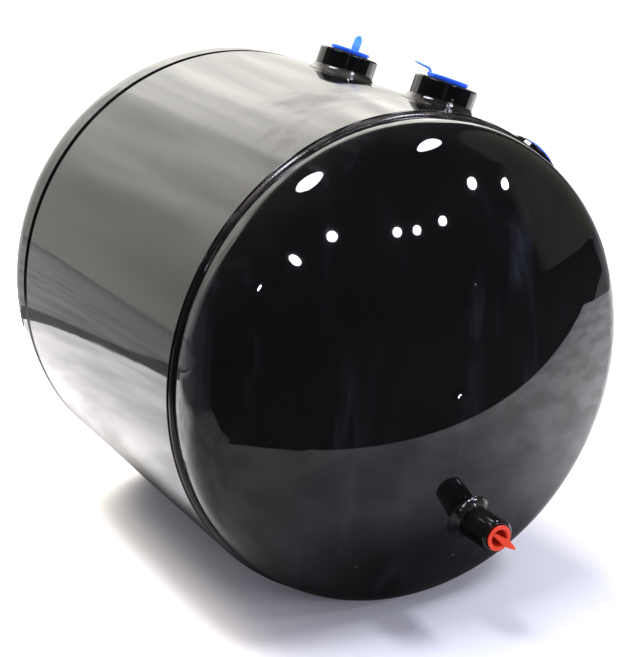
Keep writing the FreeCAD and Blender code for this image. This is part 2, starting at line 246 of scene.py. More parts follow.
def spread(tree, source, low, high, to_low=0.0, to_high=1.0):
    """Map low..high smoothly to to_low..to_high."""
    made = add(tree, "MapRange", {"interpolation_type": "SMOOTHSTEP"}, Value=source,
               From_Min=low, From_Max=high, To_Min=to_low, To_Max=to_high)
    return made.outputs["Result"]


# A Mix node calls every pair of its sockets A and B, so a pair is picked by its place.
def blend_colours(tree, share, first, second):
    made = add(tree, "Mix", {"data_type": "RGBA"})
    feed(tree, made.inputs["Factor"], share)
    feed(tree, made.inputs[6], first)
    feed(tree, made.inputs[7], second)
    return made.outputs[2]


def blend_values(tree, share, first, second):
    made = add(tree, "Mix", {"data_type": "FLOAT"})
    feed(tree, made.inputs["Factor"], share)
    feed(tree, made.inputs[2], first)
    feed(tree, made.inputs[3], second)
    return made.outputs[0]


def new_group(name, inputs, outputs):
    """An empty node group with named sockets, each (name, kind, starting value)."""
    tree = bpy.data.node_groups.new(name, "ShaderNodeTree")
    for word, kind, start in inputs:
        socket = tree.interface.new_socket(word, in_out="INPUT", socket_type="NodeSocket" + kind)
        socket.default_value = start
    for word, kind in outputs:
        tree.interface.new_socket(word, in_out="OUTPUT", socket_type="NodeSocket" + kind)
    return tree, tree.nodes.new("NodeGroupInput").outputs, tree.nodes.new("NodeGroupOutput").inputs


def place_group(tree, group, **sockets):
    return add(tree, "Group", {"node_tree": group}, **sockets).outputs


print("helpers ready")

# %% [markdown]
# ## Orange peel
#
# Sprayed gloss paint never dries flat: it keeps a fine, rounded unevenness that painters call
# orange peel, and longer waves below it where the metal itself isn't flat. It could be a
# displaced mesh, but it is a few thousandths of a millimetre deep, so only reflections show
# it. A height for the Bump node is the right place, and every paint here shares the group.

# %% Orange peel group
PEEL_INPUTS = [("Grain", "Float", 220.0), ("Peel Depth", "Float", 1.0), ("Wave Depth", "Float", 1.0)]
peel, given, gives = new_group("orange_peel", PEEL_INPUTS, [("Height", "Float")])
where = add(peel, "TexCoord").outputs["Object"]
grain = add(peel, "TexNoise", Vector=where, Scale=given["Grain"], Detail=1.5, Roughness=0.45)
wave = add(peel, "TexNoise", Vector=where, Scale=17.0, Detail=1.0, Roughness=0.4)
fine = sums(peel, "MULTIPLY", grain.outputs[0], given["Peel Depth"])
long_wave = sums(peel, "MULTIPLY", wave.outputs[0], sums(peel, "MULTIPLY", given["Wave Depth"], 8.0))
feed(peel, gives["Height"], sums(peel, "ADD", fine, long_wave))
print(peel.name, "made")

# %% [markdown]
# ## Dust and nibs
#
# A shop floor's dust settles on what faces up, and a few grains are caught in the paint as
# nibs. The first is a mask from the surface's own direction and a soft noise. The second is
# a mask of small, rare dots. Both are groups, because shell, head, port and weld paint share
# them with different amounts.

# %% Settled dust group
dust, given, gives = new_group(
    "settled_dust", [("Amount", "Float", 0.3), ("Patch Size", "Float", 30.0)], [("Mask", "Float")])
where = add(dust, "TexCoord").outputs["Object"]
facing = add(dust, "SeparateXYZ", Vector=add(dust, "NewGeometry").outputs["Normal"]).outputs["Z"]
patches = add(dust, "TexNoise", Vector=where, Scale=given["Patch Size"], Detail=4.0, Roughness=0.65)
level = sums(dust, "MULTIPLY", spread(dust, facing, 0.1, 1.0), spread(dust, patches.outputs[0], 0.35, 0.7))
feed(dust, gives["Mask"], sums(dust, "MULTIPLY", level, given["Amount"], clamp=True))
print(dust.name, "made")

# %% Paint nibs group
nibs, given, gives = new_group(
    "paint_nibs", [("Per Metre", "Float", 70.0), ("Size", "Float", 0.06)], [("Mask", "Float")])
where = add(nibs, "TexCoord").outputs["Object"]
dots = add(nibs, "TexVoronoi", Vector=where, Scale=given["Per Metre"])
rare = add(nibs, "SeparateColor", Color=dots.outputs["Color"]).outputs[0]
limit = sums(nibs, "MULTIPLY", given["Size"], spread(nibs, rare, 0.86, 1.0))
inside = sums(nibs, "SUBTRACT", limit, dots.outputs["Distance"])
feed(nibs, gives["Mask"], spread(nibs, inside, 0.0, 0.02))
print(nibs.name, "made")

# %% [markdown]
# ## Gloss black paint
#
# Black paint's own colour hardly matters: what shows is its skin, which reflects the room
# like dark glass. So the base colour is almost black, the roughness is low, and the detail is
# in how the reflection is disturbed. One recipe makes all four paints. What only one of them
# has, such as a smear or a touch of rust, comes from a small function that the recipe calls.

# %% One recipe for the four paints
def gloss_black(name, roughness, grain, peel_depth, wave_depth, dust_amount, extra=None):
    """extra(tree) may give roughness to add, a tint, the tint's mask and height to add."""
    paint = bpy.data.materials.new(name)
    paint.use_nodes = True
    tree = paint.node_tree
    surface = tree.nodes["Principled BSDF"]
    height = place_group(tree, peel, Grain=grain, Peel_Depth=peel_depth, Wave_Depth=wave_depth)["Height"]
    dusty = place_group(tree, dust, Amount=dust_amount, Patch_Size=26.0)["Mask"]
    nib = place_group(tree, nibs, Per_Metre=75.0, Size=0.075)["Mask"]
    colour = blend_colours(tree, dusty, (0.0032, 0.0032, 0.0034, 1), (0.20, 0.18, 0.15, 1))
    colour = blend_colours(tree, sums(tree, "MULTIPLY", nib, 0.5), colour, (0.16, 0.13, 0.10, 1))
    rough = sums(tree, "ADD", roughness, sums(tree, "MULTIPLY", dusty, 0.35))
    height = sums(tree, "ADD", height, sums(tree, "MULTIPLY", nib, 6.0))
    if extra:
        more_rough, tint, tint_mask, more_height = extra(tree)
        rough = sums(tree, "ADD", rough, more_rough)
        colour = blend_colours(tree, tint_mask, colour, tint)
        height = sums(tree, "ADD", height, more_height)
    feed(tree, surface.inputs["Base Color"], colour)
    feed(tree, surface.inputs["Roughness"], sums(tree, "MAXIMUM", rough, 0.015, clamp=True))
    surface.inputs["IOR"].default_value = 1.5
    bump = add(tree, "Bump", Height=height, Strength=1.0, Distance=0.00001)
    feed(tree, surface.inputs["Normal"], bump.outputs["Normal"])
    return paint


print("paint recipe ready")

# %% [markdown]
# The shell is rolled plate, so its paint has streaks that run along the tank: a noise that is
# stretched along the tank's axis. It also has dull smears where it was handled. Each smear is
# a soft ball at a chosen spot, and a second noise makes its edge ragged.

# %% Rolled shell finish
# Each smear has a middle and a radius.
SMEARS = [((-0.020, -0.052, 0.303), 0.0425), ((0.022, -0.045, 0.304), 0.0325),
          ((-0.058, -0.085, 0.292), 0.0275)]


def rolled_plate(tree):
    where = add(tree, "TexCoord").outputs["Object"]
    long_way = add(tree, "Mapping", Vector=where, Scale=(1.0, 0.10, 1.0)).outputs[0]
    streaks = add(tree, "TexNoise", Vector=long_way, Scale=48.0, Detail=3.0, Roughness=0.55).outputs[0]
    ragged = add(tree, "TexNoise", Vector=where, Scale=60.0, Detail=2.5, Roughness=0.5).outputs[0]
    wobble = sums(tree, "MULTIPLY", sums(tree, "SUBTRACT", ragged, 0.5), 0.060)
    smear = 0.0
    for middle, radius in SMEARS:
        reach = sums(tree, "ADD", distance(tree, where, middle), wobble)
        smear = sums(tree, "MAXIMUM", spread(tree, reach, 0.0, radius, 1.0, 0.0), smear)
    dull_streaks = spread(tree, streaks, 0.4, 0.75, 0.0, 0.05)
    rough = sums(tree, "ADD", dull_streaks, sums(tree, "MULTIPLY", smear, 0.26))
    smear_mask = sums(tree, "MULTIPLY", smear, 0.5)
    return rough, (0.030, 0.028, 0.026, 1), smear_mask, sums(tree, "MULTIPLY", streaks, 9.0)


shell_paint = gloss_black("shell_paint", 0.060, 240.0, 0.9, 1.5, 0.03, rolled_plate)
print(shell_paint.name, "made")

# %% [markdown]
# The heads are pressed and very smooth, so they have the sharpest reflections. Somebody wiped
# them with a cloth, which left a thin film in long, faint marks.


# %% Wiped head finish
def wiped_head(tree):
    where = add(tree, "TexCoord").outputs["Object"]
    drawn = add(tree, "Mapping", Vector=where, Rotation=(0.0, 0.15, 0.0), Scale=(1.0, 1.0, 0.16)).outputs[0]
    wipes = add(tree, "TexNoise", Vector=drawn, Scale=34.0, Detail=4.0, Roughness=0.6, Distortion=0.5)
    film = spread(tree, wipes.outputs[0], 0.52, 0.78)
    film_mask = sums(tree, "MULTIPLY", film, 0.45)
    return sums(tree, "MULTIPLY", film, 0.02), (0.028, 0.031, 0.040, 1), film_mask, 0.0


head_paint = gloss_black("head_paint", 0.022, 200.0, 0.35, 0.9, 0.02, wiped_head)
print(head_paint.name, "made")

# %% [markdown]
# The ports are turned steel with plain paint. On the welds the paint is thin and gritty, holds
# more dust, and lets a little rust bleed through.


# %% Port and weld finish
def rusting_weld(tree):
    where = add(tree, "TexCoord").outputs["Object"]
    blot = add(tree, "TexNoise", Vector=where, Scale=95.0, Detail=5.0, Roughness=0.7).outputs[0]
    rust = spread(tree, blot, 0.64, 0.74)
    grit = add(tree, "TexNoise", Vector=where, Scale=600.0, Detail=3.0, Roughness=0.6).outputs[0]
    rust_mask = sums(tree, "MULTIPLY", rust, 0.6)
    return (sums(tree, "MULTIPLY", rust, 0.35), (0.16, 0.055, 0.018, 1), rust_mask,
            sums(tree, "MULTIPLY", grit, 0.7))


port_paint = gloss_black("port_paint", 0.060, 260.0, 1.1, 0.5, 0.06)
weld_paint = gloss_black("weld_paint", 0.13, 320.0, 1.2, 0.5, 0.30, rusting_weld)
print(port_paint.name, "and", weld_paint.name, "made")

# %% [markdown]
# ## Moulded plastic
#
# The plugs are soft polyethylene. Light goes a little way into it, so thin parts such as the
# pull tab look paler than the thick ring when lit from behind. Each plug's mesh carries a
# number called thin, from 0 in the body to 1 at the tab's tip, and the group turns it into a
# paler colour: painted backlight, added to the real light inside the plastic. The rest is a
# faint grain from the mould. Blue and red share the group.

# %% Moulded plastic group
mould, given, gives = new_group(
    "moulded_plastic", [("Body", "Color", (0, 0, 1, 1)), ("Thin Edge", "Color", (0, 0.4, 1, 1))],
    [("Color", "Color"), ("Roughness", "Float"), ("Height", "Float")])
where = add(mould, "TexCoord").outputs["Object"]
thin = add(mould, "Attribute", {"attribute_name": "thin"}).outputs["Fac"]
cloud = add(mould, "TexNoise", Vector=where, Scale=160.0, Detail=3.0, Roughness=0.5)
pitted = add(mould, "TexNoise", Vector=where, Scale=2600.0, Detail=2.0, Roughness=0.5)
# The paler colour towards the tab's tip is painted backlight.
shade = blend_colours(mould, thin, given["Body"], given["Thin Edge"])
darker = add(mould, "HueSaturation", Color=shade, Value=0.86).outputs[0]
feed(mould, gives["Color"], blend_colours(mould, spread(mould, cloud.outputs[0], 0.35, 0.7), shade, darker))
feed(mould, gives["Roughness"], spread(mould, cloud.outputs[0], 0.3, 0.7, 0.30, 0.42))
feed(mould, gives["Height"], pitted.outputs[0])
print(mould.name, "made")


# %% Blue and red plastic
def plastic(name, body, painted_backlight, seep):
    """seep is how much of the light goes into the plastic and comes out again."""
    stuff = bpy.data.materials.new(name)
    stuff.use_nodes = True
    tree = stuff.node_tree
    surface = tree.nodes["Principled BSDF"]
    parts = place_group(tree, mould, Body=body, Thin_Edge=painted_backlight)
    feed(tree, surface.inputs["Base Color"], parts["Color"])
    feed(tree, surface.inputs["Roughness"], parts["Roughness"])
    bump = add(tree, "Bump", Height=parts["Height"], Strength=0.25, Distance=0.00004)
    feed(tree, surface.inputs["Normal"], bump.outputs["Normal"])
    surface.inputs["Subsurface Weight"].default_value = seep
    surface.inputs["Subsurface Radius"].default_value = (1.0, 1.0, 1.0)
    surface.inputs["Subsurface Scale"].default_value = 0.0012
    return stuff


# The second colour of each plastic is the painted backlight at the tab's tip.
blue_plastic = plastic("blue_plastic", (0.026, 0.170, 1.0, 1), (0.12, 0.38, 1.0, 1), 0.30)
red_plastic = plastic("red_plastic", (0.62, 0.030, 0.003, 1), (0.70, 0.045, 0.006, 1), 0.25)
print("two plastics made")

# %% [markdown]
# ## The shell
#
# A flat plate is rolled round and welded along one seam. Its cut edges aren't knife sharp:
# the paint rounds them, and that thin round line catches the light all the way round the
# tank. So the shell is turned as a tube with eased edges, and then bored where the ports go
# through. A Boolean modifier bores it, as a drill would, and the normals are then set from
# the true cylinder so that the faces next to a hole don't dent the reflection.

# %% Turn the tube
tank = Lathe(AXIS, (0, -1, 0), (1, 0, 0))
EDGE_EASE, INNER_EASE = 0.0007, 0.0003
# The tube's outside is split into short stretches, so that no face beside a hole is very long.
STRETCHES = 12
tube_corners = [(RADIUS - WALL, -HALF, INNER_EASE), (RADIUS, -HALF, EDGE_EASE)]
tube_corners += [(RADIUS, HALF * (2 * k / STRETCHES - 1), 0) for k in range(1, STRETCHES)]
tube_corners += [(RADIUS, HALF, EDGE_EASE), (RADIUS - WALL, HALF, INNER_EASE)]
shell = skin("shell_skin", [(tank.spin(eased(tube_corners, 5), 480), True, True)])
print(shell.name, "turned")

# %% Where each port stands
def port_lathe(name, side):
    mount = mounts[name + "_thread"]
    return Lathe(mount["pos_m"], mount["axis"], side)


SHELL_PORTS = ["top_rear", "top_front", "side"]
DRAINS = ["front_drain", "rear_drain"]
lathes = {name: port_lathe(name, (0, -1, 0)) for name in SHELL_PORTS}
lathes.update({name: port_lathe(name, (1, 0, 0)) for name in DRAINS})
print({name: [round(v, 4) for v in lathe.centre] for name, lathe in lathes.items()})

# %% Bore the shell
def bore(piece, lathe, radius, low, high):
    """Cut a round hole along a lathe's axis, between two heights."""
    outline = [(0, low), (radius, low), (radius, high), (0, high)]
    cutter = skin("cutter", [(lathe.spin(outline, 120), True, False)])
    cut = piece.modifiers.new("bore", "BOOLEAN")
    cut.operation, cut.solver, cut.object = "DIFFERENCE", "EXACT", cutter
    bpy.context.view_layer.update()
    shape = piece.evaluated_get(bpy.context.evaluated_depsgraph_get())
    data = bpy.data.meshes.new_from_object(shape)
    piece.modifiers.clear()
    old, piece.data = piece.data, data
    bpy.data.meshes.remove(old)
    data.name = piece.name
    bpy.data.meshes.remove(cutter.data)


BORE_FROM, BORE_TO = -0.030, 0.010
for name in SHELL_PORTS:
    bore(shell, lathes[name], PORT["outer"], BORE_FROM, BORE_TO)
print(shell.name, len(shell.data.polygons), "faces after boring")

# %% Set the shell's normals
normals = []
for loop in shell.data.loops:
    spot = shell.data.vertices[loop.vertex_index].co
    across = Vector((spot.x, 0, spot.z - RADIUS))
    on_skin = across.length > RADIUS - 1e-5
    # A zero vector leaves that corner's own normal as it is.
    normals.append(across.normalized() if on_skin else Vector((0, 0, 0)))
shell.data.normals_split_custom_set(normals)
print(len(normals), "corner normals set")

# %% Hand the shell over
hand_over(shell, "shell", shell_paint)

# %% [markdown]
# ## The heads
#
# Each head is a pressed dish: a wide crown, a tight knuckle and a straight flange. The front
# head slides into the shell. The rear one does too, but past the joint it swells to the
# shell's own size. The engineering model already has exactly these surfaces, with true
# normals, so they stay and only get their paint.

# %% Paint the heads
for name in ("front_head", "rear_head"):
    head = frame["nodes"][name]
    head.data.materials.clear()
    head.data.materials.append(head_paint)
    print(name, "painted")

# %% [markdown]
# ## The shape of a weld bead
#
# A bead is a row of small puddles of metal that froze one after another. Across the joint its
# face swells or dips between two toes. Along the joint the puddles show as ripples, and each
# ripple is bowed, because the metal in the middle froze last. A texture could fake that, but
# the beads show at the tank's outline, so the ripples are in the mesh. Two formulas, shared
# by all beads, give the swell and the ripple.


# %% Swell and ripple
def swell_at(share):
    """0 at a bead's two toes and 1 halfway between them."""
    return 4 * share * (1 - share)


def ripple_at(turn, bow):
    """0 to 1 and back over each ripple; bow is how far its middle is moved along."""
    return 0.5 + 0.5 * math.sin(turn + bow)


print("swell across a bead", [round(swell_at(j / 4), 2) for j in range(5)])

# %% [markdown]
# ## Girth welds
#
# Where the shell laps over the front head's flange, one weld runs all the way round. It was
# laid while the tank turned, so its ripples are fine and its edges wander only a little. The
# bead is a section swept round the tank: two toes, a low crown, and a root hidden in the joint.

# %% Sections of the front weld
GIRTH_RIPPLE = 0.0024
GIRTH_RIPPLES = round(TAU * RADIUS / GIRTH_RIPPLE)
TOE_INSET, GIRTH_REACH, GIRTH_LIFT = 0.0009, 0.0032, 0.00042
ROOT_RADIUS, ROOT_BACK = HEAD_RADIUS - 0.0009, 0.0012


def girth_sections(seed, steps=1500):
    """Each section goes from the root out to the shell's edge, then down the face to the head."""
    toe, far_toe = wander(seed, 5, 23), wander(seed + 1, 7, 31)
    inner = HEAD_RADIUS - 0.00005
    sections = []
    for k in range(steps):
        angle = TAU * k / steps
        outer = RADIUS - TOE_INSET + 0.00012 * toe(angle)
        reach = GIRTH_REACH + 0.0003 * far_toe(angle)
        row = [(ROOT_RADIUS, -ROOT_BACK), (outer - 0.0006, -ROOT_BACK)]
        for share in (j / 8 for j in range(9)):
            swell = swell_at(share)
            crest = ripple_at(GIRTH_RIPPLES * angle, 2.2 * swell)
            lift = swell * (GIRTH_LIFT + 0.00010 * toe(2 * angle) + 0.00003 * crest)
            row.append((outer + (inner - outer) * share + lift, reach * share + lift))
        row.append((ROOT_RADIUS, reach * 0.9))
        sections.append((angle, row))
    return sections


print(GIRTH_RIPPLES, "ripples round the tank")

# %% [markdown]
# At the rear the head swells to the shell's own size, so its weld lies sunk in a narrow groove
# between the shell's edge and the head, which rises there at 45 degrees. It is a flat bead
# with a slightly hollow face.

# %% Sections of the sunk weld
GROOVE, SUNK = 0.0020, 0.0016


def groove_sections(seed, steps=1200):
    """Each section goes from the root out along the shell's edge and over to the head."""
    edge = wander(seed, 5, 23)
    sections = []
    for k in range(steps):
        angle = TAU * k / steps
        face = RADIUS - SUNK + 0.00012 * edge(angle)
        far = GROOVE + face - HEAD_RADIUS
        row = [(ROOT_RADIUS, 0.0002), (face, 0.0002)]
        for share in (j / 6 for j in range(1, 6)):
            dip = swell_at(share)
            crest = ripple_at(GIRTH_RIPPLES * angle, 2.2 * dip)
            row.append((face - dip * (0.0003 + 0.00008 * crest), far * share))
        row += [(face, far), (ROOT_RADIUS, GROOVE)]
        sections.append((angle, row))
    return sections


print("the rear weld lies", SUNK, "m deep")

# %% Sweep both girth welds
for end, way, sections in (("front", -1, girth_sections(11)), ("rear", 1, groove_sections(23))):
    turning = Lathe((0, way * HALF, RADIUS), (0, way, 0), (1, 0, 0))
    rows = [[turning.point(angle, r, h) for r, h in row] for angle, row in sections]
    bead = skin(end + "_girth_bead", [(rows, True, True)])
    settle(bead, end + "_girth_weld", weld_paint)

# %% [markdown]
# ## The shell's long seam
#
# The plate's two edges meet low on the far side, and a bead closes them. It is laid flat and
# quickly, so its ripples are longer, and it just reaches the floor.

# %% Lay the seam
seam_low, seam_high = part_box("shell_seam_weld")
seam_at = math.atan2((seam_low.x + seam_high.x) / 2, (seam_low.z + seam_high.z) / 2 - RADIUS)
SEAM_HALF, SEAM_RISE, SEAM_RIPPLE, SEAM_ROOT = 0.0037, 0.0011, 0.0032, 0.0010
SEAM_END = HALF - 0.0004
SEAM_STEPS = 399
edge, rows = wander(5, 2, 17), []
for k in range(SEAM_STEPS + 1):
    along = SEAM_END * (2 * k / SEAM_STEPS - 1)
    width = SEAM_HALF + 0.0002 * edge(along * 40)
    row = []
    for share in (j / 10 for j in range(11)):
        swell = swell_at(share)
        crest = ripple_at(TAU * along / SEAM_RIPPLE, 2.4 * swell)
        row.append((width * (2 * share - 1), RADIUS + swell * (SEAM_RISE - 0.00009 * crest)))
    row += [(width, RADIUS - SEAM_ROOT), (-width, RADIUS - SEAM_ROOT)]
    points = [(seam_at + across / RADIUS, height) for across, height in row]
    rows.append([Vector((h * math.sin(a), along, RADIUS + h * math.cos(a))) for a, h in points])
seam = skin("shell_seam_bead", [(rows, False, True)])
settle(seam, "shell_seam_weld", weld_paint)

# %% [markdown]
# ## Ports
#
# A port is a short steel boss, turned and threaded. The plug hides the thread, so the bore is
# plain here. Its mouth has a chamfer outside and a countersink inside, and each edge carries
# a small round of paint. It is a spun outline.


# %% Turn the ports
def port_outline(size):
    """Up the outside from the bottom edge, over the mouth and down to the bore."""
    outer, inner, depth = size["outer"], size["bore"], size["depth"]
    return eased([
        (inner, -depth, 0.0002), (outer, -depth, 0.0002), (outer, -size["chamfer"], 0.0005),
        (outer - size["chamfer"], 0, 0.0004), (inner + size["sink"], 0, 0.0003),
        (inner, -size["sink"], 0.0003)], 4)


# The rear dome is nearer to its port's mouth, so that port is shorter than the front one.
drain_low, drain_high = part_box("rear_drain")
BOSSES = {name: (name + "_port", PORT) for name in SHELL_PORTS}
BOSSES["front_drain"] = ("front_drain", DRAIN)
BOSSES["rear_drain"] = ("rear_drain", dict(DRAIN, depth=drain_high.y - drain_low.y))
for name, (node, size) in BOSSES.items():
    boss = skin(node + "_boss", [(lathes[name].spin(port_outline(size), 200), True, True)])
    settle(boss, node, port_paint)

# %% [markdown]
# ## Port welds
#
# The bead round a port follows the line where the boss meets the tank, which isn't flat: on
# the shell it rises and falls, and on the head it leans. So each point of the bead asks how
# high the tank's surface is below it, and the section is carried round on that line.


# %% How high the tank stands under a port
def height_on_shell(lathe, angle, reach):
    spot = lathe.point(angle, reach, 0)
    across = Vector((spot.x, 0, spot.z - RADIUS))
    along = across.dot(lathe.out)
    sideways_squared = across.length_squared - along ** 2
    return math.sqrt(RADIUS ** 2 - sideways_squared) - along


def height_on_head(lathe, angle, reach):
    spot = lathe.point(angle, reach, 0)
    off_axis = math.hypot(spot.x, spot.z - RADIUS)
    centre = CROWN_CENTRES["front" if spot.y < 0 else "rear"]
    dome = HALF + centre + math.sqrt(CROWN ** 2 - off_axis ** 2)
    return dome - abs(spot.y)


for name, height in (("top_front", height_on_shell), ("front_drain", height_on_head)):
    print(name, "mouth stands", round(-height(lathes[name], 0, 0), 4), "m off the tank")

# %% Lay the port welds
# A bead's leg lies on the tank, its rise climbs the port, and hollow is the dip of its face.
SHELL_BEAD = {"leg": 0.0037, "rise": 0.0038, "hollow": 0.00037, "below": height_on_shell}
HEAD_BEAD = {"leg": 0.0047, "rise": 0.0052, "hollow": 0.000411, "below": height_on_head}
PORT_RIPPLE, BEAD_ROOT, BEAD_INSIDE = 0.0021, 0.0012, 0.0006
FIRST_SEED = 40


def port_bead(name, lathe, outer, size, seed, steps=420):
    toe, top = wander(seed, 2, 9), wander(seed + 7, 2, 8)
    ripples, inner, below = round(TAU * outer / PORT_RIPPLE), outer - BEAD_INSIDE, size["below"]
    rows = []
    for k in range(steps):
        angle = TAU * k / steps
        width = size["leg"] * (1 + 0.06 * toe(angle))
        climb = size["rise"] * (1 + 0.05 * top(angle))
        row = []
        for share in (j / 9 for j in range(10)):
            dip = swell_at(share)
            crest = ripple_at(ripples * angle, 2.0 * dip)
            inward = dip * (size["hollow"] - 0.00003 * crest)
            reach = outer + 0.00005 + width * share - inward
            row.append((reach, below(lathe, angle, reach) + climb * (1 - share) - inward))
        middle = outer + width * 0.6
        row.append((middle, below(lathe, angle, middle) - BEAD_ROOT))
        row.append((inner, below(lathe, angle, outer) - BEAD_ROOT))
        row.append((inner, below(lathe, angle, outer) + climb * 0.8))
        rows.append([lathe.point(angle, r, h) for r, h in row])
    return skin(name, [(rows, True, True)])


for seed, (name, (node, port)) in enumerate(BOSSES.items(), FIRST_SEED):
    size = SHELL_BEAD if name in SHELL_PORTS else HEAD_BEAD
    bead = port_bead(node + "_weld_bead", lathes[name], port["outer"], size, seed)
    settle(bead, node + "_weld", weld_paint)

# %% [markdown]
# ## Plugs
#
# A plug is one moulding: a tapered cup that grips the bore, a thin flange that stops it, a
# rib across the hollow and a tab to pull it out by. The cup is spun. The rib and the tab are
# strips: a rounded section carried along a line, so that they have real thickness and soft
# edges. Widths and thicknesses change along the line, which makes the tab's rounded tip.


# %% A strip of plastic
def strip(lathe, turn, path, widths, thicknesses):
    """path is (reach, height) points in the plane that the tab lies in."""
    ahead = lathe.side * math.cos(turn) + lathe.up * math.sin(turn)
    aside = lathe.out.cross(ahead)
    rows = []
    for k, (reach, height) in enumerate(path):
        before, after = path[max(k - 1, 0)], path[min(k + 1, len(path) - 1)]
        run = (ahead * (after[0] - before[0]) + lathe.out * (after[1] - before[1])).normalized()
        over = run.cross(aside)
        middle = lathe.centre + ahead * reach + lathe.out * height
        half_wide, half_thick = widths[k] / 2, thicknesses[k] / 2
        ease = min(half_thick, half_wide) * 0.9
        outline = eased([(-half_wide, -half_thick, ease), (half_wide, -half_thick, ease),
                         (half_wide, half_thick, ease), (-half_wide, half_thick, ease)], 3)
        rows.append([middle + aside * x + over * y for x, y in outline])
    return rows


print("strips ready")


# %% The line that a tab follows
BEND, BEND_STEPS, RUN_STEPS = 0.003, 8, 14


def bent_path(start, base, lean, run, curl):
    """Up out of the flange, round a bend to the lean, and on for a run that may curl."""
    tilt = math.radians(lean)
    path = [(start, base)]
    for k in range(1, BEND_STEPS + 1):
        angle = tilt * k / BEND_STEPS
        path.append((start + BEND * (1 - math.cos(angle)), base + BEND * math.sin(angle)))
    reach, height = path[-1]
    for k in range(1, RUN_STEPS + 1):
        angle = tilt - curl * k / RUN_STEPS
        reach += run / RUN_STEPS * math.sin(angle)
        height += run / RUN_STEPS * math.cos(angle)
        path.append((reach, height))
    return path


print("a tab's line has", len(bent_path(0, 0, 45, 0.01, 0.1)), "points")


# %% Press a plug together
THIN_OVER = 0.0045


def round_tip(count, full, straight):
    """Full width along the straight share of the strip, then a rounded end."""
    widths = []
    for k in range(count):
        late = max(0.0, (k / (count - 1) - straight) / (1 - straight))
        widths.append(full * max(0.12, math.sqrt(max(0.0, 1 - late ** 2))))
    return widths


def cup_outline(size):
    """From the nose's middle up the neck, round the flange and down into the hollow."""
    hollow, neck, flange = size["neck"] - CAP_WALL, size["neck"], size["flange"]
    base, thick, depth = size["raise"], size["thick"], size["depth"]
    skirt = base / 2
    return eased([
        (0, base - depth, 0), (neck - 0.0009, base - depth, 0.0005), (neck, base - 1.6 * skirt, 0.0003),
        (neck + 0.0003, base - 1.2 * skirt, 0.0002), (flange - 0.0005, base - skirt, 0.0002),
        (flange, base + thick - 0.0004, 0.0002), (flange - 0.0003, base + thick, 0.0002),
        (hollow + 0.0004, base + thick, 0.0003), (hollow - 0.0003, base + thick - 0.0012, 0.0004),
        (hollow - 0.0009, base + CAP_WALL - depth, 0.0006), (0, base + CAP_WALL - depth, 0)], 3)


def mark_thin(piece, lathe, size):
    """The number called thin grows from the flange to the tab's tip, and sets the painted backlight."""
    level = piece.data.attributes.new("thin", "FLOAT", "POINT")
    for vertex, slot in zip(piece.data.vertices, level.data):
        away = vertex.co - lathe.centre
        height = away.dot(lathe.out) - size["raise"] - size["thick"]
        reach = (away - lathe.out * away.dot(lathe.out)).length - size["flange"]
        slot.value = min(1.0, max(0.0, max(height, reach) / THIN_OVER))


def tab_angle(lathe, turn):
    """A tab's angle on its lathe. A turn of 0 points clockwise round the tank, seen from the front."""
    spot = lathe.centre - AXIS
    onward = Vector((spot.z, 0, -spot.x))
    return math.atan2(onward.dot(lathe.up), onward.dot(lathe.side)) + math.radians(turn)


def press_plug(name, colour, stuff, size, strips, steps):
    cup = (lathes[name].spin(cup_outline(size), steps), True, False)
    plug = skin(f"{name}_{colour}_plug", [cup] + [(rows, False, True) for rows in strips])
    mark_thin(plug, lathes[name], size)
    settle(plug, name + "_plug", stuff)


print("plug tools ready")

# %% Blue plugs in the shell's ports
# Each tab has a turn and a lean in degrees, a straight run, and a curl in radians.
TABS = {"top_rear": (45, 8, 0.0112, 0.15), "top_front": (146, 86, 0.0085, 0.15),
        "side": (40, 75, 0.0080, 0.1)}
TAB_WIDTH, TAB_STRAIGHT, TAB_THICK, TAB_THINNER = 0.0056, 0.74, 0.0015, 0.0006
TAB_ROOT, RIB_WIDTH, RIB_HEIGHT = 0.00055, 0.0014, 0.0028
hollow, top = CAP["neck"] - CAP_WALL, CAP["raise"] + CAP["thick"]
rib_line = [(x, top - 0.0016) for x in (-hollow - 0.0004, 0, hollow + 0.0004)]
for name, (turn, lean, run, curl) in TABS.items():
    angle = tab_angle(lathes[name], turn)
    path = bent_path(hollow + TAB_ROOT, CAP["raise"] + TAB_ROOT, lean, run, curl)
    widths = round_tip(len(path), TAB_WIDTH, TAB_STRAIGHT)
    thicknesses = [TAB_THICK - TAB_THINNER * k / (len(path) - 1) for k in range(len(path))]
    tab = strip(lathes[name], angle, path, widths, thicknesses)
    rib = strip(lathes[name], angle, rib_line, [RIB_WIDTH] * 3, [RIB_HEIGHT] * 3)
    press_plug(name, "blue", blue_plastic, CAP, [rib, tab], 160)

# %% [markdown]
# The drain's red plug is smaller. Its pull strap starts inside the hollow on one side, gets
# wider as it crosses, folds over the ring on the other side and ends in a pointed tongue.

# %% The red strap's line
TONGUE_REACH, STRAP_STEPS = 0.0130, 24
hollow, top = SMALL_CAP["neck"] - CAP_WALL, SMALL_CAP["raise"] + SMALL_CAP["thick"]
strap_end = hollow + 0.0003
path, widths, thicknesses = [], [], []
for k in range(STRAP_STEPS + 1):
    reach = -strap_end + (TONGUE_REACH + strap_end) * k / STRAP_STEPS
    past = max(0.0, (reach - hollow) / (TONGUE_REACH - hollow))
    across = min(1.0, (reach + hollow) / (2 * hollow))
    sag = 0.0012 * (1 - min(1.0, 1.4 * across))
    path.append((reach, top - sag + 0.0022 * math.sin(past * 1.9)))
    wide, tongue = 0.0016 + 0.0030 * across, 0.0046 * max(0.0, 1 - past) ** 0.75 + 0.0005
    widths.append(wide if past == 0 else tongue)
    thicknesses.append(0.0013 - 0.0005 * past)
print("strap", round(path[-1][0] - path[0][0], 4), "m long")

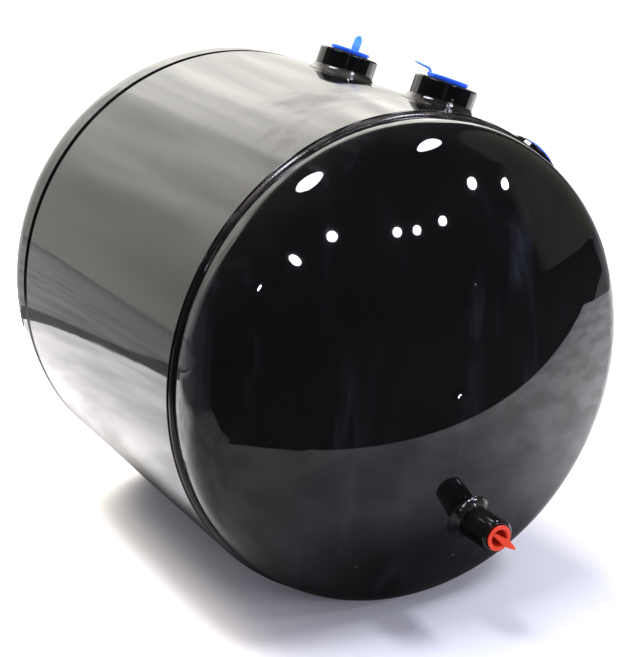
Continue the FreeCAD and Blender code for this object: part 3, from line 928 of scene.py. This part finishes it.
# %% Red plugs in the drains
WEB_WIDTH, WEB_HEIGHT = 0.0012, 0.0030
web_line = [(x, top - 0.0028) for x in (-strap_end, 0, strap_end)]
for name, turn in (("front_drain", 128), ("rear_drain", 232)):
    angle = tab_angle(lathes[name], turn)
    strap = strip(lathes[name], angle, path, widths, thicknesses)
    web = strip(lathes[name], angle, web_line, [WEB_WIDTH] * 3, [WEB_HEIGHT] * 3)
    press_plug(name, "red", red_plastic, SMALL_CAP, [strap, web], 120)

# %% [markdown]
# ## Camera
#
# The camera stands in front of the tank, to its left and a little above, and looks slightly
# down. A long lens keeps the round head from bulging.

# %% Set the camera
CAMERA_AT = Vector((-0.5003, -0.9034, 0.5010))
LOOK = Vector((0.464, 0.8216, -0.3309))
lens = bpy.data.cameras.new("camera")
lens.lens, lens.sensor_width, lens.sensor_fit = 90.77, 36.0, "AUTO"
camera = bpy.data.objects.new("camera", lens)
bpy.context.scene.collection.objects.link(camera)
camera.location = CAMERA_AT
camera.rotation_mode = "QUATERNION"
camera.rotation_quaternion = LOOK.to_track_quat("-Z", "Y")
bpy.context.scene.camera = camera
bpy.context.scene.view_settings.view_transform = "Standard"
print("camera", [round(v, 3) for v in camera.location])

# %% [markdown]
# ## The studio
#
# Black gloss shows its surroundings, so the studio is built for its reflections. A large pale
# wall glows behind the tank and gives the shell its long grey gradient. The room in front is
# dark, with ceiling lamps, and gives the head its depth and its sparks. The floor is pale.
# What only reflections need to see is hidden from the camera.


# %% Flat shapes for the studio
def board(name, corners, material):
    data = bpy.data.meshes.new(name)
    data.from_pydata([Vector(c) for c in corners], [], [list(range(len(corners)))])
    flat = bpy.data.objects.new(name, data)
    bpy.context.scene.collection.objects.link(flat)
    data.materials.append(material)
    print(name, "laid out")
    return flat


def bare_material(name):
    """A material with nothing in it but its output."""
    stuff = bpy.data.materials.new(name)
    stuff.use_nodes = True
    tree = stuff.node_tree
    tree.nodes.remove(tree.nodes["Principled BSDF"])
    return stuff, tree, tree.nodes["Material Output"].inputs["Surface"]


# %% [markdown]
# The floor is a pale sheet with plain floor round it. Seen directly it is pale, with a painted
# warm shade towards the left, and it melts into the white room with distance. In the paint's
# reflections it has to be calmer, or it would drown the black: so a Light Path node tells the
# material which rays come off something glossy, and for those the floor is painted with shade:
# a painted shadow near the tank, and painted light and shade in patches. Four boards lie at
# slightly different depths and have different shares of that painted light.


# %% Painted light and shade of the floor in a reflection
# The floor's painted shadow is darkest along a line under the tank: the line's middle, and half its length.
SHADOW_MIDDLE, SHADOW_HALF = 0.12, 0.22


def painted_light_share(tree, x, y, mottle):
    """Painted light and shade: 0 is black. It is about 1 where the floor is brightest."""
    along = sums(tree, "ABSOLUTE", sums(tree, "SUBTRACT", y, SHADOW_MIDDLE))
    past_end = sums(tree, "MAXIMUM", sums(tree, "SUBTRACT", along, SHADOW_HALF))
    from_patch = add(tree, "CombineXYZ", X=x, Y=past_end).outputs[0]
    lit = spread(tree, distance(tree, from_patch), 0.07, 0.16, 0.25, 1.0)
    front = spread(tree, y, -0.10, 0.08, 1.0, 0.0)
    left_to_right = spread(tree, x, -0.40, 0.40, 0.25, 0.80)
    back = spread(tree, y, 0.40, 0.75)
    far_left = spread(tree, x, -0.64, -0.46, 0.12, 1.0)
    shares = [blend_values(tree, front, 1.0, left_to_right), blend_values(tree, back, far_left, 1.0),
              spread(tree, y, 0.8, 2.0, 0.5, 1.0), spread(tree, mottle, 0.35, 0.65, 0.80, 1.10)]
    for share in shares:
        lit = sums(tree, "MULTIPLY", lit, share)
    return lit


def floor_material(name, glossy_share):
    """glossy_share is how much of the painted light this board gives to a reflection."""
    stuff, tree, surface = bare_material(name)
    where = add(tree, "TexCoord").outputs["Object"]
    spot = add(tree, "SeparateXYZ", Vector=where).outputs
    mottle = add(tree, "TexNoise", Vector=where, Scale=14.0, Detail=3.0, Roughness=0.5).outputs[0]
    path = add(tree, "LightPath").outputs
    pale = blend_colours(tree, mottle, (0.76, 0.76, 0.78, 1), (0.85, 0.85, 0.87, 1))
    # Painted shade: a warm tint that grows towards the left stands in for the warm shade there.
    painted_warm_shade = spread(tree, spot["X"], -0.30, 0.0, 1.0, 0.0)
    pale = blend_colours(tree, painted_warm_shade, pale, (0.82, 0.765, 0.64, 1))
    # In reflections the floor shows painted light and shade in place of its pale colour.
    lit = painted_light_share(tree, spot["X"], spot["Y"], mottle)
    mirrored = blend_colours(tree, lit, (0, 0, 0, 1), (1.6 * glossy_share,) * 3 + (1,))
    colour = blend_colours(tree, path["Is Glossy Ray"], pale, mirrored)
    far = spread(tree, distance(tree, where), 0.45, 1.1)
    mixed = add(tree, "MixShader", Fac=sums(tree, "MULTIPLY", far, path["Is Camera Ray"]))
    feed(tree, mixed.inputs[1], add(tree, "BsdfDiffuse", Color=colour).outputs[0])
    feed(tree, mixed.inputs[2], add(tree, "Emission", Color=(1, 1, 1, 1), Strength=1.06).outputs[0])
    feed(tree, surface, mixed.outputs[0])
    return stuff


print("floor materials ready")

# %% Lay the floor
SHEET = [(-1.6, -0.39), (1.0, -0.39), (1.0, 0.44), (-0.35, 0.436), (-0.47, 0.455),
         (-0.60, 0.57), (-1.6, 0.60)]
EDGE_SHADE_BAND = [(-1.6, 0.40), (0.87, 0.40), (0.87, 0.50), (-0.33, 0.50), (-0.43, 0.52),
        (-0.56, 0.635), (-1.6, 0.67)]
FRONT = [(-6, -6), (6, -6), (6, -0.30), (-6, -0.30)]
BACK = [(-6, -0.30), (6, -0.30), (6, 6), (-6, 6)]
# Each board's share scales its painted light in reflections: the front board is painted almost black there,
# and the edge band is a painted shadow along the sheet's back edge.
for part, outline, depth, glossy_share in (
        ("sheet", SHEET, 0.0002, 1.0), ("front", FRONT, 0.0012, 0.03),
        ("back", BACK, 0.0012, 0.30), ("edge", EDGE_SHADE_BAND, 0.0007, 0.10)):
    paint = floor_material("pale_floor_" + part, glossy_share)
    board("floor_" + part, [(x, y, -depth) for x, y in outline], paint)

# %% [markdown]
# The wall glows more the higher it is, so the shell is brightest along its top and greyer down
# its side. Soft bands and a cloth-like noise break the glow up, because an even wall makes
# paint look like plastic.

# %% The glowing wall behind
wall_stuff, tree, surface = bare_material("glowing_wall")
where = add(tree, "TexCoord").outputs["Object"]
spot = add(tree, "SeparateXYZ", Vector=where).outputs
bands = add(tree, "TexNoise", {"noise_dimensions": "1D"}, W=spot["X"], Scale=2.6, Detail=2.0).outputs[0]
side = spread(tree, spot["X"], -1.7, 1.6, 0.52, 0.98)
bands = sums(tree, "MULTIPLY", spread(tree, bands, 0.3, 0.7, 0.8, 1.15), side)
cloth = add(tree, "TexNoise", Vector=where, Scale=1.7, Detail=3.0, Roughness=0.55).outputs[0]
top_edge = spread(tree, spot["Z"], 1.95, 2.3, 1.0, 0.05)
cloth = sums(tree, "MULTIPLY", spread(tree, cloth, 0.35, 0.65, 0.72, 1.05), top_edge)
rise = sums(tree, "MULTIPLY", spread(tree, spot["Z"], 0.35, 1.30, 0.9, 4.0), cloth)
low_glow = spread(tree, spot["Z"], 0.3, 1.3, 0.75, 0.0)
strength = sums(tree, "ADD", sums(tree, "MULTIPLY", rise, bands), low_glow)
feed(tree, surface, add(tree, "Emission", Color=(1.0, 0.975, 0.915, 1), Strength=strength).outputs[0])
WALL_LEFT, WALL_RIGHT, WALL_AT, WALL_TOP = -2.0, 2.4, 2.3, 2.6
corners = [(WALL_LEFT, 0), (WALL_RIGHT, 0), (WALL_RIGHT, WALL_TOP), (WALL_LEFT, WALL_TOP)]
wall = board("glowing_wall", [(x, WALL_AT, z) for x, z in corners], wall_stuff)
wall.visible_camera = False

# %% [markdown]
# Two long lamps hang almost overhead and face straight down. The others are small discs far
# down the room, turned towards the tank. Each shows in the head as a spark. Daylight comes
# from behind and above, throws the shadow forwards, and stays out of the reflections.


# %% Area lights
CEILING = 2.6


def area_light(name, shape, width, length, power, colour, at):
    """Faces straight down until it is aimed, and is hidden from the camera."""
    glow = bpy.data.lights.new(name, "AREA")
    glow.shape, glow.size, glow.size_y = shape, width, length
    glow.energy, glow.color = power, colour
    lamp = bpy.data.objects.new(name, glow)
    bpy.context.scene.collection.objects.link(lamp)
    lamp.location = at
    lamp.visible_camera = False
    return lamp


def aim(lamp, target):
    lamp.rotation_mode = "QUATERNION"
    lamp.rotation_quaternion = (Vector(target) - lamp.location).to_track_quat("-Z", "Y")


print("area lights ready")

# %% Ceiling lamps
OVERHEAD = [(-0.66, 0.09), (1.53, -1.02)]
DOWN_THE_ROOM = [(4.16, -4.23), (6.05, -4.30), (0.11, -6.23), (2.26, -6.74), (3.07, -6.84),
                 (4.02, -6.41), (-3.90, -8.06), (-1.27, -8.19)]
COOL_WHITE = (0.86, 0.88, 1.0)
for number, (x, y) in enumerate(OVERHEAD):
    area_light(f"ceiling_lamp_{number}", "ELLIPSE", 0.50, 1.3, 55.0, COOL_WHITE, (x, y, CEILING))
for number, (x, y) in enumerate(DOWN_THE_ROOM, len(OVERHEAD)):
    lamp = area_light(f"ceiling_lamp_{number}", "ELLIPSE", 0.28, 0.28, 42.0, COOL_WHITE, (x, y, CEILING))
    aim(lamp, (0, 0, 0.15))
print(len(OVERHEAD) + len(DOWN_THE_ROOM), "lamps")

# %% Soft daylight from behind
daylight = area_light("daylight", "RECTANGLE", 1.3, 0.9, 80.0, (1.0, 0.95, 0.88), (-0.15, 1.05, 1.35))
aim(daylight, (-0.05, 0.15, 0.0))
daylight.visible_glossy = False
print("daylight on")

# %% [markdown]
# The last light is the room itself, the world. The camera sees it as white. Soft light comes
# from it in two tints, cool from the front and warm from behind. In reflections it is almost
# black, with two pale parts: the room low behind the tank, and a curtain at the right with
# an edge that leans a little.

# %% The room's own light
world = bpy.data.worlds.new("room")
bpy.context.scene.world = world
world.use_nodes = True
tree = world.node_tree
path = add(tree, "LightPath").outputs
way = add(tree, "SeparateXYZ", Vector=add(tree, "TexCoord").outputs["Generated"]).outputs
behind = spread(tree, way["Y"], 0.60, 0.80)
fill = blend_colours(tree, behind, (0.38, 0.37, 0.49, 1), (0.60, 0.56, 0.48, 1))
not_high = spread(tree, way["Z"], 0.40, 0.60, 1.0, 0.0)
low_behind = sums(tree, "MULTIPLY", behind, not_high)
mirrored = blend_colours(tree, low_behind, (0.012, 0.013, 0.015, 1), (0.8, 0.78, 0.74, 1))
leaning = sums(tree, "ADD", way["X"], sums(tree, "MULTIPLY", way["Z"], 0.25))
curtain = spread(tree, leaning, 0.85, 0.89)
mirrored = blend_colours(tree, curtain, mirrored, (0.21, 0.22, 0.175, 1))
seen = blend_colours(tree, path["Is Glossy Ray"], fill, mirrored)
seen = blend_colours(tree, path["Is Camera Ray"], seen, (1.06, 1.06, 1.06, 1))
feed(tree, tree.nodes["Background"].inputs["Color"], seen)
tree.nodes["Background"].inputs["Strength"].default_value = 1.0
print("room lit")
